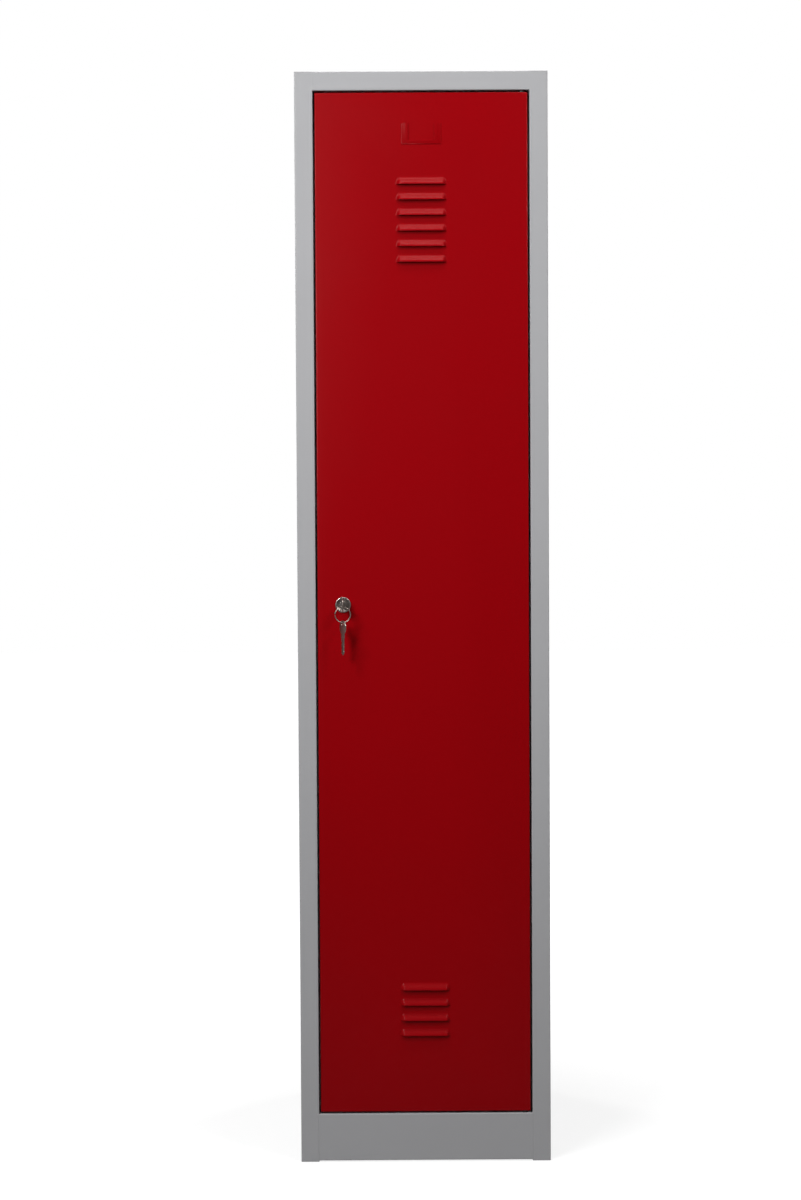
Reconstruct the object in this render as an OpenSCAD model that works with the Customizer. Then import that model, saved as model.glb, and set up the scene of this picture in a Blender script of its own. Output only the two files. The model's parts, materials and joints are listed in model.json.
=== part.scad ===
// Single-compartment steel clothing locker with a hinged door, cam lock, hat shelf and coat rail.
// Millimetres. X is across the front, the front faces -Y, and Z is up from the floor.
// The origin is on the floor, midway between the sides and between the front and the back.

/* [Carcass] */
// Width over the side panels
body_w = 415; // [380:5:480]
// Height from the floor to the top
body_h = 1800; // [1700:10:2000]
// Depth from the front frame to the back
body_d = 500; // [400:10:600]
// Thickness of the carcass sheet
sheet_t = 0.8; // [0.6:0.1:1.2]
// Inside radius of every bend in the sheet
bend_r = 0.8; // [0.5:0.1:1.5]
// Face width of the front stiles
stile_w = 30; // [26:1:40]
// Face height of the head rail
head_h = 31; // [28:1:50]
// Height of the plinth above the floor
plinth_h = 80; // [60:5:120]
// Clearance below the plinth between the side panels
plinth_lift = 2; // [1:0.5:6]
// Reach of the door stop into the opening
stop_lip = 12; // [9:1:14]
// Width of the flanges that join the sheets
flange_w = 15; // [10:1:20]
// Width of the flanges that the side panels stand on
foot_flange = 20; // [12:1:30]

/* [Door] */
// Thickness of the door sheet
door_t = 1; // [0.8:0.1:1.2]
// Gap all round between the door and its frame
door_gap = 3; // [2.5:0.5:4]
// Depth that the door's face lies behind the frame's face
door_recess = 2; // [1:0.5:3]
// Depth of the door's folded edges
door_depth = 20; // [18:1:24]
// Width of the return lips round the back of the door
door_return = 12; // [8:1:15]
// Outside radius of the door's folded edges
door_edge_r = 2; // [1.5:0.1:2.5]
// Thickness of the rubber buffers that the door closes on
buffer_t = 4; // [3:0.5:6]
// Width of the crown of the stiffener behind the door
stiffener_w = 36; // [24:1:60]
// Depth of the stiffener
stiffener_d = 14; // [8:1:15]
// Clear height between each louvre group and the stiffener
stiffener_clear = 45; // [20:5:120]

/* [Louvres] */
// Width of a louvre over its rounded ends
louvre_w = 84; // [60:1:120]
// Height of a pressed hood
louvre_h = 13; // [8:0.5:15]
// Distance that a hood stands out from the door
louvre_out = 6; // [3:0.5:7]
// Spacing of the louvres
louvre_pitch = 25.4; // [20:0.1:35]
// Number of louvres at the top
top_louvres = 6; // [3:1:8]
// Number of louvres at the bottom
bottom_louvres = 4; // [3:1:8]
// Drop from the door's top edge to the first louvre
top_louvre_drop = 143; // [120:1:200]
// Rise from the door's bottom edge to the last louvre
bottom_louvre_rise = 134; // [60:1:200]

/* [Card holder] */
// Width of the card that the holder takes
card_w = 61; // [40:1:70]
// Height of the card
card_h = 31.5; // [20:0.5:40]
// Depth of the pocket behind the holder's lips
card_slot = 1; // [0.8:0.1:1.5]
// Width of the lips that hold the card's sides
card_lip = 9; // [3:0.5:12]
// Height of the lip that holds the card's foot
card_foot = 4; // [3:0.5:6]
// Wall of the holder
holder_wall = 2.5; // [1.5:0.5:4]
// Thickness of the holder's lips
holder_t = 0.8; // [0.6:0.1:1.2]
// Drop from the door's top edge to the top of the holder
holder_drop = 50; // [30:1:70]

/* [Pivots] */
// Distance from the door's hinge edge to the pivot axis
pivot_inset = 9; // [8:0.5:12]
// Distance from the door's face back to the pivot axis
pivot_depth = 7; // [6:0.5:9]
// Diameter of the pivot pins
pin_d = 6; // [4:0.5:6]
// Radial running clearance of pins and plugs in their bores
run_gap = 0.05; // [0.02:0.01:0.1]
// Diameter of the bush collars
bush_collar_d = 10; // [9.5:0.5:10]
// Thickness of the pivot plates
plate_t = 2; // [1.5:0.5:3]

/* [Lock] */
// Height of the lock's axis above the floor
lock_z = 927; // [800:1:1200]
// Distance from the door's free edge to the lock's axis
lock_inset = 42; // [36:1:60]
// Diameter of the lock's chrome rim
rim_d = 26; // [21:0.5:30]
// Distance that the rim stands out from the door
rim_h = 3; // [2:0.5:5]
// Diameter of the lock's body
housing_d = 18; // [16:0.5:19]
// Diameter of the turning plug
plug_d = 12; // [11.5:0.5:13]
// Width across the flats of the lock's nut
nut_af = 24; // [22:1:30]
// Thickness of the lock's nut
nut_t = 5; // [3:0.5:8]
// Thickness of the cam
cam_t = 2; // [1.5:0.5:3]
// Width of the cam
cam_w = 16; // [14:1:20]
// Reach of the cam's tip behind the stop, past the edge of the stop's lip
cam_bite = 8; // [4:0.5:9]
// Clearance between the cam and the back of the stop
cam_gap = 0.3; // [0.2:0.1:1]

/* [Keys] */
// Thickness of a key
key_t = 2; // [1.6:0.1:2.2]
// Width of a key's blade
blade_w = 8; // [6:0.5:8]
// Length of a key's blade
blade_l = 28; // [26:1:32]
// Length of blade that goes into the plug
key_insert = 23.5; // [18:0.5:23.5]
// Diameter of a key's bow
bow_d = 23; // [20:0.5:26]
// Length of a key from its shoulder to the end of the bow
bow_l = 29; // [26:0.5:32]
// Diameter of the hole in a key's bow
key_hole_d = 7; // [6.5:0.5:8]
// Distance from the end of the bow to the centre of the hole
key_hole_edge = 5.5; // [5:0.5:7]
// Outside diameter of the key ring
ring_d = 27; // [26:0.5:35]
// Diameter of the key ring's wire
ring_wire = 1.8; // [1.4:0.1:2]
// Clearance between the ring and the holes that it hangs in
ring_gap = 0.25; // [0.2:0.05:0.5]
// Angle that the spare key is turned on the ring
spare_yaw = 25; // [0:5:35]

/* [Inside] */
// Distance from the top of the locker to the top of the hat shelf
shelf_drop = 310; // [220:10:400]
// Depth of the hat shelf's front flange
shelf_front = 22; // [15:1:30]
// Drop from the hat shelf's top to the axis of the coat rail
rail_drop = 62; // [50:1:80]
// Diameter of the coat rail
rail_d = 20; // [16:1:25]
// Wall of the coat rail
rail_wall = 1.2; // [1:0.1:2]
// Distance from the side panel to the outer face of a rail bracket
bracket_inset = 16; // [12:1:25]
// Width of a rail bracket
bracket_w = 34; // [30:1:50]
// Diameter of a coat hook's wire
hook_wire = 4; // [3:0.5:5]
// Length of a coat hook between its two bends
hook_l = 45; // [35:1:60]
// Spacing of the coat hooks along the rail
hook_pitch = 110; // [90:5:110]
// Clearance between hooks, brackets and the rail
rail_gap = 0.3; // [0.2:0.1:0.5]
// Diameter of the bracket rivets
rivet_d = 4; // [3:0.5:5]

/* [Fixing holes] */
// Diameter of the wall fixing holes in the back
wall_hole_d = 8.5; // [6:0.5:10]
// Width between the wall fixing holes
wall_hole_x = 250; // [150:10:300]
// Distance from the top and from the bottom to the wall fixing holes
wall_hole_end = 150; // [120:5:200]
// Diameter of the holes that bolt lockers side to side
side_hole_d = 6.5; // [5:0.5:9]
// Distance from the front and from the back to the side holes
side_hole_inset = 60; // [50:5:100]
// Distance from the top and from the bottom to the side holes
side_hole_end = 200; // [150:10:270]

/* [Hidden] */

$fn = 48;
overlap = 1;
bend_steps = 4;
touch_gap = 0.2;

side_x = body_w / 2;
front_y = -body_d / 2;
back_y = body_d / 2;
half_t = sheet_t / 2;
bend_out = bend_r + sheet_t;

// Opening of the front frame
open_x = side_x - stile_w;
open_top = body_h - head_h;
open_bottom = plinth_h;
stop_depth = door_recess + door_depth + buffer_t;
stop_y = front_y + stop_depth;
stop_back_y = stop_y + sheet_t;
wall_in_x = side_x - sheet_t;
clear_x = wall_in_x - bend_r - touch_gap;
back_panel_y = back_y - sheet_t;
back_in_y = back_panel_y - sheet_t;

// Door
door_w = 2 * (open_x - door_gap);
door_left = -door_w / 2;
door_bottom = open_bottom + door_gap;
door_top = open_top - door_gap;
door_h = door_top - door_bottom;
door_y = front_y + door_recess;
door_back_y = door_y + door_depth;
door_in_y = door_y + door_t;

// Louvres
louvre_mid = louvre_w - 2 * louvre_out;
louvre_steps = 5;
top_louvre_z = [for (i = [0:top_louvres - 1]) door_top - top_louvre_drop - i * louvre_pitch];
bottom_louvre_z = [for (i = [0:bottom_louvres - 1]) door_bottom + bottom_louvre_rise + i * louvre_pitch];
louvre_zs = concat(top_louvre_z, bottom_louvre_z);

// Stiffener between the louvre groups
stiffener_bottom = bottom_louvre_z[bottom_louvres - 1] + louvre_h / 2 + stiffener_clear;
stiffener_top = top_louvre_z[top_louvres - 1] - louvre_h / 2 - stiffener_clear;

// Pivots
pivot_x = door_w / 2 - pivot_inset;
pivot_y = door_y + pivot_depth;
pin_r = pin_d / 2;
bush_r = pin_r + 1.5;
bush_sleeve = 10;
bush_washer = 2;
pin_head_t = 3;
pin_into_door = 14;
plate_w = 30;
plate_back = 21;

// Buffers on the lock side of the stop
buffer_d = 8;
buffer_stem_d = 3.6;
buffer_tail = 1.5;
buffer_x = -open_x + stop_lip / 2;
buffer_end = 200;
buffer_zs = [door_bottom + buffer_end, lock_z + buffer_end, door_top - buffer_end];

// Lock
lock_x = door_left + lock_inset;
lock_front = door_y - rim_h;
cam_front = stop_back_y + cam_gap;
cam_back = cam_front + cam_t;
housing_back = cam_front - touch_gap;
plug_r = plug_d / 2;
cam_reach = lock_x + open_x - stop_lip + cam_bite;
tang_w = 7.6;
tang_gap = 0.1;
screw_d = 4;
screw_into = 3;
screw_head_d = 9;
screw_head_t = 2.2;
rim_edge = 1.2;

// Keyway and wafers
keyway_gap = 0.15;
keyway_l = key_insert + 0.5;
wafer_count = 4;
wafer_t = 0.7;
wafer_pitch = 3.4;
wafer_first = 6;
wafer_w = 5;
wafer_h = 10;
wafer_gap = 0.1;

// Keys and their ring
key_stand = blade_l - key_insert;
bow_end_y = lock_front - key_stand - bow_l;
key_hole_y = bow_end_y + key_hole_edge;
ring_seat = key_hole_d / 2 - ring_wire / 2 - ring_gap;
ring_split = 6;
ring_r = (ring_d - ring_wire) / 2;
ring_top_z = lock_z - ring_seat;
ring_mid_z = ring_top_z - ring_r;
spare_hole_z = ring_mid_z - ring_r - ring_seat;
bow_neck_w = 11;
blade_cuts = [8, 12, 16, 20];
blade_cut_d = 1.4;

// Shelf, rail and hooks
shelf_z = body_h - shelf_drop;
shelf_y = stop_back_y + 5;
shelf_hem = 8;
rail_z = shelf_z - rail_drop;
rail_r = rail_d / 2;
bracket_t = 2;
bracket_x = wall_in_x - bracket_inset;
bracket_flange = 26;
bracket_tail = 14;
rail_half = bracket_x + touch_gap;
cap_t = 2.5;
cap_plug = 10;
cap_gap = 0.15;
rivet_head_d = 8;
rivet_head_t = 1.4;
rivet_gap = 0.05;
rivet_ys = [-10, 10];
hook_r = rail_r + rail_gap + hook_wire / 2;
hook_ball_d = hook_wire + 2;
hook_sweep = 220;

grey = [0.58, 0.58, 0.6];
red = [0.55, 0.03, 0.05];
metal = [0.75, 0.75, 0.77];
dark = [0.1, 0.1, 0.1];
zinc = [0.66, 0.67, 0.68];

// Folded sheet: a section drawn by its middle line, with a round bend at each corner
function unit(v) = v / norm(v);
function left_of(v) = [-v[1], v[0]];
function turned(v, a) = [v[0] * cos(a) - v[1] * sin(a), v[0] * sin(a) + v[1] * cos(a)];
function turn_angle(a, b) = atan2(a[0] * b[1] - a[1] * b[0], a * b);
function reversed(list) = [for (i = [len(list) - 1:-1:0]) list[i]];

function bend_points(before, corner, after, side) =
    let (
        d1 = unit(corner - before),
        angle = turn_angle(d1, unit(after - corner)),
        s = sign(angle),
        mid_r = bend_r + half_t,
        centre = corner - d1 * mid_r * tan(abs(angle) / 2) + s * mid_r * left_of(d1),
        r = mid_r - s * side * half_t
    )
    [for (k = [0:bend_steps]) centre + r * turned(-s * left_of(d1), angle * k / bend_steps)];

function edge_points(path, side) =
    let (last = len(path) - 1)
    [
        for (i = [0:last])
            each i == 0 ? [path[0] + side * half_t * left_of(unit(path[1] - path[0]))]
            : i == last ? [path[last] + side * half_t * left_of(unit(path[last] - path[last - 1]))]
            : bend_points(path[i - 1], path[i], path[i + 1], side)
    ];

module sheet_section(path) {
    polygon(concat(edge_points(path, 1), reversed(edge_points(path, -1))));
}

// Carries a section from its own X, Y to world Y, Z and extrudes it across X, centred
module across_x(length) {
    rotate([90, 0, 90])
        linear_extrude(length, center = true)
            children();
}

// Carries a section from its own X, Y to world X, Z and extrudes it from y0 to y1
module along_y(y0, y1) {
    translate([0, y1, 0])
        rotate([90, 0, 0])
            linear_extrude(y1 - y0)
                children();
}

// Rounded rectangle with one corner at the origin, r0 on its lower corners and r1 on its upper ones
function corner_arc(cx, cy, r, a0) =
    [for (k = [0:bend_steps]) [cx, cy] + r * [cos(a0 + 90 * k / bend_steps), sin(a0 + 90 * k / bend_steps)]];

function rounded_rect(w, h, r0, r1) = concat(
    corner_arc(r0, r0, r0, 180),
    corner_arc(w - r0, r0, r0, 270),
    corner_arc(w - r1, h - r1, r1, 0),
    corner_arc(r1, h - r1, r1, 90)
);

// Block with its face on z = 0, the face's edges rounded, and the far edges rounded by back_r
module pan_block(w, l, depth, r, back_r) {
    intersection() {
        translate([0, l, 0])
            rotate([90, 0, 0])
                linear_extrude(l)
                    polygon(rounded_rect(w, depth, r, back_r));
        rotate([90, 0, 90])
            linear_extrude(w)
                polygon(rounded_rect(l, depth, r, back_r));
    }
}

// Tray folded from sheet, its face on z = 0 and its rim at z = depth, with return lips
module lipped_pan(w, l, depth, t, r, lip) {
    difference() {
        pan_block(w, l, depth, r, r);
        translate([t, t, t])
            pan_block(w - 2 * t, l - 2 * t, depth - 2 * t, r - t, r - t);
        translate([lip, lip, depth / 2])
            cube([w - 2 * lip, l - 2 * lip, depth]);
    }
}

// Tray folded from sheet with plain flanges
module plain_pan(w, l, depth, t, r) {
    difference() {
        pan_block(w, l, depth, r, t / 4);
        translate([t, t, t])
            pan_block(w - 2 * t, l - 2 * t, depth, r - t, t / 4);
    }
}

// Carcass
module side_section() {
    sheet_section([
        [-side_x + flange_w, back_y - half_t],
        [-side_x + half_t, back_y - half_t],
        [-side_x + half_t, front_y + half_t],
        [-open_x - half_t, front_y + half_t],
        [-open_x - half_t, stop_y + half_t],
        [-open_x + stop_lip, stop_y + half_t]
    ]);
}

module foot_section() {
    sheet_section([
        [-side_x + half_t, flange_w],
        [-side_x + half_t, half_t],
        [-side_x + foot_flange, half_t]
    ]);
}

module side_panel() {
    foot_y0 = stop_back_y + overlap;
    foot_y1 = back_y - 2 * flange_w;
    difference() {
        union() {
            difference() {
                linear_extrude(body_h)
                    side_section();
                translate([-side_x - overlap, foot_y0, -overlap])
                    cube([2 * overlap, foot_y1 - foot_y0, overlap + bend_out]);
            }
            along_y(foot_y0, foot_y1)
                foot_section();
        }
        translate([-wall_in_x, front_y + sheet_t, body_h - sheet_t])
            cube([side_x, body_d - 2 * sheet_t, 2 * sheet_t]);
        for (y = [front_y + side_hole_inset, back_y - side_hole_inset])
            for (z = [side_hole_end, body_h - side_hole_end])
                translate([-side_x - overlap, y, z])
                    rotate([0, 90, 0])
                        cylinder(h = 2 * overlap + sheet_t, d = side_hole_d);
    }
}

module left_side_panel() {
    color(grey)
        difference() {
            side_panel();
            for (z = buffer_zs)
                translate([buffer_x, stop_y - overlap, z])
                    rotate([-90, 0, 0])
                        cylinder(h = 2 * overlap + sheet_t, d = buffer_stem_d + 2 * run_gap);
        }
}

module right_side_panel() {
    color(grey)
        mirror([1, 0, 0])
            side_panel();
}

module back_panel() {
    color(grey)
        difference() {
            translate([-clear_x, back_in_y, 0])
                cube([2 * clear_x, sheet_t, body_h]);
            for (x = [-wall_hole_x / 2, wall_hole_x / 2])
                for (z = [wall_hole_end, body_h - wall_hole_end])
                    translate([x, back_in_y - overlap, z])
                        rotate([-90, 0, 0])
                            cylinder(h = 2 * overlap + sheet_t, d = wall_hole_d);
        }
}

// Cuts the ends of a rail's stop clear of the stops on the side panels
module stop_notches(z) {
    notch_w = stop_lip + touch_gap;
    for (x = [-open_x - overlap, open_x - notch_w])
        translate([x, stop_y - bend_out, z - 2 * stop_lip])
            cube([notch_w + overlap, 2 * stop_lip, 4 * stop_lip]);
}

module pin_hole(z) {
    translate([pivot_x, pivot_y, z])
        cylinder(h = 4 * plate_t, r = pin_r + run_gap, center = true);
}

module top_section() {
    sheet_section([
        [back_in_y - half_t, body_h - flange_w],
        [back_in_y - half_t, body_h - half_t],
        [front_y + half_t, body_h - half_t],
        [front_y + half_t, open_top + half_t],
        [stop_y + half_t, open_top + half_t],
        [stop_y + half_t, open_top - stop_lip]
    ]);
}

module top_wing() {
    along_y(front_y + sheet_t, back_in_y)
        sheet_section([
            [-open_x + overlap, body_h - half_t],
            [-wall_in_x + half_t, body_h - half_t],
            [-wall_in_x + half_t, body_h - flange_w]
        ]);
}

module top_panel() {
    color(grey)
        difference() {
            union() {
                across_x(2 * open_x)
                    top_section();
                top_wing();
                mirror([1, 0, 0])
                    top_wing();
            }
            stop_notches(open_top);
            pin_hole(open_top);
            for (x = [-wall_in_x - overlap, clear_x])
                translate([x, front_y - overlap, body_h - 2 * flange_w])
                    cube([wall_in_x + overlap - clear_x, overlap + bend_out + touch_gap, 4 * flange_w]);
        }
}

module plinth_panel() {
    color(grey)
        difference() {
            across_x(2 * open_x)
                sheet_section([
                    [front_y + flange_w, plinth_lift + half_t],
                    [front_y + half_t, plinth_lift + half_t],
                    [front_y + half_t, open_bottom - half_t],
                    [stop_y + half_t, open_bottom - half_t],
                    [stop_y + half_t, open_bottom + stop_lip]
                ]);
            stop_notches(open_bottom);
            pin_hole(open_bottom);
        }
}

module floor_panel() {
    color(grey)
        translate([-wall_in_x, back_in_y, open_bottom])
            rotate([180, 0, 0])
                plain_pan(2 * wall_in_x, back_in_y - stop_back_y, flange_w, sheet_t, bend_out);
}

// The shelf's front flange is deeper and hemmed, and its other flanges are plain
module hat_shelf() {
    shelf_l = back_in_y - shelf_y;
    color(grey)
        difference() {
            union() {
                translate([-wall_in_x, back_in_y, shelf_z])
                    rotate([180, 0, 0])
                        plain_pan(2 * wall_in_x, shelf_l, flange_w, sheet_t, bend_out);
                across_x(2 * (wall_in_x - bend_out))
                    sheet_section([
                        [shelf_y + 2 * shelf_hem, shelf_z - half_t],
                        [shelf_y + half_t, shelf_z - half_t],
                        [shelf_y + half_t, shelf_z - shelf_front + half_t],
                        [shelf_y + shelf_hem, shelf_z - shelf_front + half_t]
                    ]);
            }
            for (x = rivet_xs())
                for (y = rivet_ys)
                    translate([x, y, shelf_z - 2 * overlap])
                        cylinder(h = 4 * overlap, d = rivet_d + 2 * rivet_gap);
        }
}

// Pivot plates, pins and bushes
module pivot_plate(z) {
    color(zinc)
        difference() {
            translate([open_x - plate_w - overlap, front_y + bend_out, z])
                cube([plate_w, plate_back, plate_t]);
            pin_hole(z);
        }
}

module pivot_plate_bottom() {
    pivot_plate(open_bottom - sheet_t - plate_t);
}

module pivot_plate_top() {
    pivot_plate(open_top + sheet_t);
}

// Pin that stands up from its head on z = 0, past the plate and the frame into the door
module pivot_pin() {
    shank = pin_head_t + plate_t + sheet_t + door_gap + pin_into_door;
    color(metal)
        rotate_extrude()
            polygon([
                [0, 0],
                [pin_r + 2, 0],
                [pin_r + 2, pin_head_t],
                [pin_r, pin_head_t],
                [pin_r, shank - 1],
                [pin_r - 1, shank],
                [0, shank]
            ]);
}

module pivot_pin_bottom() {
    translate([pivot_x, pivot_y, open_bottom - sheet_t - plate_t - pin_head_t])
        pivot_pin();
}

module pivot_pin_top() {
    translate([pivot_x, pivot_y, open_top + sheet_t + plate_t + pin_head_t])
        rotate([180, 0, 0])
            pivot_pin();
}

// Bush that snaps into the door's edge, which lies from z = 0 to z = door_t
module pivot_bush() {
    collar_r = bush_collar_d / 2;
    collar_t = door_gap - touch_gap;
    bore_r = pin_r + run_gap;
    color(dark)
        rotate_extrude()
            polygon([
                [bore_r, -collar_t],
                [collar_r, -collar_t],
                [collar_r, 0],
                [bush_r, 0],
                [bush_r, door_t],
                [collar_r, door_t],
                [collar_r, door_t + bush_washer],
                [bush_r, door_t + bush_washer],
                [bush_r, door_t + bush_sleeve],
                [bore_r, door_t + bush_sleeve]
            ]);
}

module pivot_bush_bottom() {
    translate([pivot_x, pivot_y, door_bottom])
        pivot_bush();
}

module pivot_bush_top() {
    translate([pivot_x, pivot_y, door_top])
        rotate([180, 0, 0])
            pivot_bush();
}

module door_buffers() {
    head_r = buffer_d / 2;
    stem_r = buffer_stem_d / 2;
    head_t = buffer_t - touch_gap;
    color(dark)
        for (z = buffer_zs)
            translate([buffer_x, stop_y, z])
                rotate([90, 0, 0])
                    rotate_extrude()
                        polygon([
                            [0, -sheet_t - buffer_tail],
                            [stem_r, -sheet_t - buffer_tail],
                            [stem_r + 1, -sheet_t],
                            [stem_r, -sheet_t],
                            [stem_r, 0],
                            [head_r, 0],
                            [head_r, head_t - 1],
                            [head_r - 1, head_t],
                            [0, head_t]
                        ]);
}

// Coat rail, its brackets and hooks
module coat_rail() {
    color(metal)
        translate([0, 0, rail_z])
            rotate([0, 90, 0])
                difference() {
                    cylinder(h = 2 * rail_half, r = rail_r, center = true);
                    cylinder(h = 2 * rail_half + overlap, r = rail_r - rail_wall, center = true);
                }
}

function rivet_x() = bracket_x - bracket_t - bracket_flange / 2;
function rivet_xs() = [-rivet_x(), rivet_x()];

module rail_bracket() {
    under_shelf = shelf_z - sheet_t;
    bottom = rail_z - rail_r - bracket_tail;
    color(zinc)
        difference() {
            union() {
                translate([bracket_x - bracket_t, -bracket_w / 2, bottom])
                    cube([bracket_t, bracket_w, under_shelf - bottom]);
                translate([bracket_x - bracket_t - bracket_flange, -bracket_w / 2, under_shelf - bracket_t])
                    cube([bracket_t + bracket_flange, bracket_w, bracket_t]);
            }
            translate([bracket_x, 0, rail_z])
                rotate([0, 90, 0])
                    cylinder(h = 4 * bracket_t, r = rail_r + rail_gap, center = true);
            for (y = rivet_ys)
                translate([rivet_x(), y, under_shelf - bracket_t])
                    cylinder(h = 4 * bracket_t, d = rivet_d + 2 * rivet_gap, center = true);
        }
}

module rail_bracket_left() {
    mirror([1, 0, 0])
        rail_bracket();
}

module rail_bracket_right() {
    rail_bracket();
}

module rail_rivets() {
    grip = sheet_t + bracket_t;
    color(metal)
        for (x = rivet_xs())
            for (y = rivet_ys)
                translate([x, y, shelf_z - grip])
                    rotate_extrude()
                        polygon([
                            [0, -rivet_head_t],
                            [rivet_head_d / 2 - 1, -rivet_head_t],
                            [rivet_head_d / 2, 0],
                            [rivet_d / 2, 0],
                            [rivet_d / 2, grip],
                            [rivet_head_d / 2, grip],
                            [rivet_head_d / 2 - 1, grip + rivet_head_t],
                            [0, grip + rivet_head_t]
                        ]);
}

module rail_end_caps() {
    plug_r1 = rail_r - rail_wall - cap_gap;
    color(dark)
        for (side = [-1, 1])
            translate([side * rail_half, 0, rail_z])
                rotate([0, side * 90, 0])
                    rotate_extrude()
                        polygon([
                            [0, -cap_plug],
                            [plug_r1, -cap_plug],
                            [plug_r1, 0],
                            [rail_r + 2, 0],
                            [rail_r + 2, cap_t - 1],
                            [rail_r + 1, cap_t],
                            [0, cap_t]
                        ]);
}

// Arc of hook wire about the X axis, from angle a0 through a0 + sweep in the Y, Z plane
module wire_arc(a0, sweep) {
    rotate([90, 0, 90])
        rotate([0, 0, a0])
            rotate_extrude(angle = sweep)
                translate([hook_r, 0])
                    circle(d = hook_wire, $fn = 24);
}

// Wire hook that goes over the rail, with its lower bend and ball under the rail's centre
module coat_hook(x) {
    color(metal)
        translate([x, 0, rail_z]) {
            mirror([0, 1, 0])
                wire_arc(0, hook_sweep);
            translate([0, -hook_r, -hook_l])
                cylinder(h = hook_l, d = hook_wire, $fn = 24);
            translate([0, 0, -hook_l]) {
                wire_arc(180, 180);
                translate([0, hook_r, 0])
                    sphere(d = hook_ball_d, $fn = 24);
            }
        }
}

module coat_hook_left() {
    coat_hook(-hook_pitch);
}

module coat_hook_middle() {
    coat_hook(0);
}

module coat_hook_right() {
    coat_hook(hook_pitch);
}

// Door, with louvre hoods pressed out over slots
function hood_curve(out, h) =
    [for (k = [0:louvre_steps]) let (s = k / louvre_steps) [out * (1 - pow(s, 1.5)), h * s - louvre_h / 2]];

module hood_section() {
    polygon(concat(
        hood_curve(louvre_out, louvre_h),
        reversed(hood_curve(louvre_out - door_t, louvre_h - door_t))
    ));
}

module louvre_hood() {
    rotate([90, 0, -90])
        linear_extrude(louvre_mid, center = true)
            hood_section();
    translate([louvre_mid / 2, 0, 0])
        rotate([0, 0, -90])
            rotate_extrude(angle = 90)
                hood_section();
    translate([-louvre_mid / 2, 0, 0])
        rotate([0, 0, 180])
            rotate_extrude(angle = 90)
                hood_section();
}

module door_panel() {
    color(red)
        difference() {
            union() {
                translate([door_left, door_y, door_top])
                    rotate([-90, 0, 0])
                        lipped_pan(door_w, door_h, door_depth, door_t, door_edge_r, door_return);
                for (z = louvre_zs)
                    translate([0, door_y, z])
                        louvre_hood();
            }
            for (z = louvre_zs)
                translate([-louvre_mid / 2, door_y, z - louvre_h / 2])
                    cube([louvre_mid, 2 * door_t, louvre_h - door_t]);
            translate([lock_x, door_y, lock_z])
                rotate([90, 0, 0])
                    cylinder(h = 4 * door_t, d = housing_d + 2 * run_gap, center = true);
            for (z = [door_bottom, door_top])
                translate([pivot_x, pivot_y, z])
                    cylinder(h = 4 * door_t, r = bush_r + run_gap, center = true);
        }
}

module door_stiffener() {
    foot = flange_w;
    half = stiffener_w / 2;
    color(red)
        translate([0, 0, stiffener_bottom])
            linear_extrude(stiffener_top - stiffener_bottom)
                sheet_section([
                    [-half - foot, door_in_y + half_t],
                    [-half, door_in_y + half_t],
                    [-half, door_in_y + stiffener_d - half_t],
                    [half, door_in_y + stiffener_d - half_t],
                    [half, door_in_y + half_t],
                    [half + foot, door_in_y + half_t]
                ]);
}

// Pocket open at the top, whose lips hold the card's sides and foot
module card_holder() {
    outer_w = card_w + 2 * holder_wall;
    outer_h = card_h + holder_wall;
    stand = card_slot + holder_t;
    color(red)
        translate([-outer_w / 2, door_y, door_top - holder_drop - outer_h])
            rotate([90, 0, 0])
                difference() {
                    linear_extrude(stand)
                        polygon(rounded_rect(outer_w, outer_h, holder_wall, holder_t));
                    translate([holder_wall, holder_wall, -overlap])
                        cube([card_w, card_h + overlap, overlap + card_slot]);
                    translate([holder_wall + card_lip, holder_wall + card_foot, -overlap])
                        cube([card_w - 2 * card_lip, card_h, 2 * overlap + stand]);
                }
}

// Lock: z = 0 is the front of the rim and +z goes into the locker
module at_lock() {
    translate([lock_x, lock_front, lock_z])
        rotate([-90, 0, 0])
            children();
}

module lock_housing() {
    body_r = housing_d / 2;
    color(metal)
        at_lock()
            rotate_extrude()
                polygon([
                    [plug_r + run_gap, 0.6],
                    [plug_r + run_gap + 0.6, 0],
                    [rim_d / 2 - rim_edge, 0],
                    [rim_d / 2, rim_edge],
                    [rim_d / 2, rim_h],
                    [body_r, rim_h],
                    [body_r, housing_back - lock_front],
                    [plug_r + run_gap, housing_back - lock_front]
                ]);
}

module lock_nut() {
    color(zinc)
        at_lock()
            translate([0, 0, rim_h + door_t])
                difference() {
                    cylinder(h = nut_t, d = nut_af / cos(30), $fn = 6);
                    translate([0, 0, -overlap])
                        cylinder(h = nut_t + 2 * overlap, d = housing_d + 2 * run_gap);
                }
}

module square_bar(w, l) {
    translate([-w / 2, -w / 2, 0])
        cube([w, w, l]);
}

function wafer_z(i) = wafer_first + i * wafer_pitch;

module lock_plug() {
    plug_l = housing_back - lock_front;
    tang_l = cam_back - housing_back - tang_gap;
    slot_w = key_t + 2 * keyway_gap;
    slot_h = blade_w + 2 * keyway_gap;
    color([0.8, 0.78, 0.7])
        at_lock()
            difference() {
                union() {
                    cylinder(h = plug_l, r = plug_r);
                    square_bar(tang_w, plug_l + tang_l);
                }
                translate([-slot_w / 2, -slot_h / 2, -overlap])
                    cube([slot_w, slot_h, keyway_l + overlap]);
                for (i = [0:wafer_count - 1])
                    translate([-wafer_w / 2 - wafer_gap, -wafer_h / 2 - wafer_gap, wafer_z(i) - wafer_gap])
                        cube([wafer_w + 2 * wafer_gap, wafer_h + 2 * wafer_gap, wafer_t + 2 * wafer_gap]);
                translate([0, 0, plug_l + tang_l - screw_into - tang_gap])
                    cylinder(h = screw_into + overlap, d = screw_d + 2 * run_gap);
            }
}

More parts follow.
